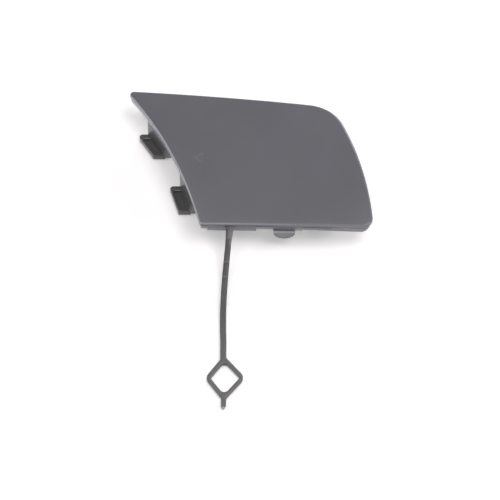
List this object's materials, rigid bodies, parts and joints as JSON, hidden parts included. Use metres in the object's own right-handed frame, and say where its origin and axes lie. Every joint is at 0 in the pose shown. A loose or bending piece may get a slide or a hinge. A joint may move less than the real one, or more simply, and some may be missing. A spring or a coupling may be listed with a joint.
{
  "type": "bumper tow hook cover",
  "caption": "Crowned moulded cover that closes the towing eye opening in a bumper, with side hooks, snap arms, a tongue and a tether that ends in a loop.",
  "frame": {"origin": "centre of the footprint, on the surface that the hooks' feet, the snap arms and the loop lie on", "axes": "+Z out of the painted face, +Y from the tether's loop towards the cover's top edge, +X towards the snap arm side"},
  "size_m": [0.1052, 0.1486, 0.0182],
  "materials": {
    "primed_plastic": "grey primer, satin"
  },
  "bodies": {
    "root": {"tow_hook_cover": "primed_plastic"}
  },
  "joints": []
}
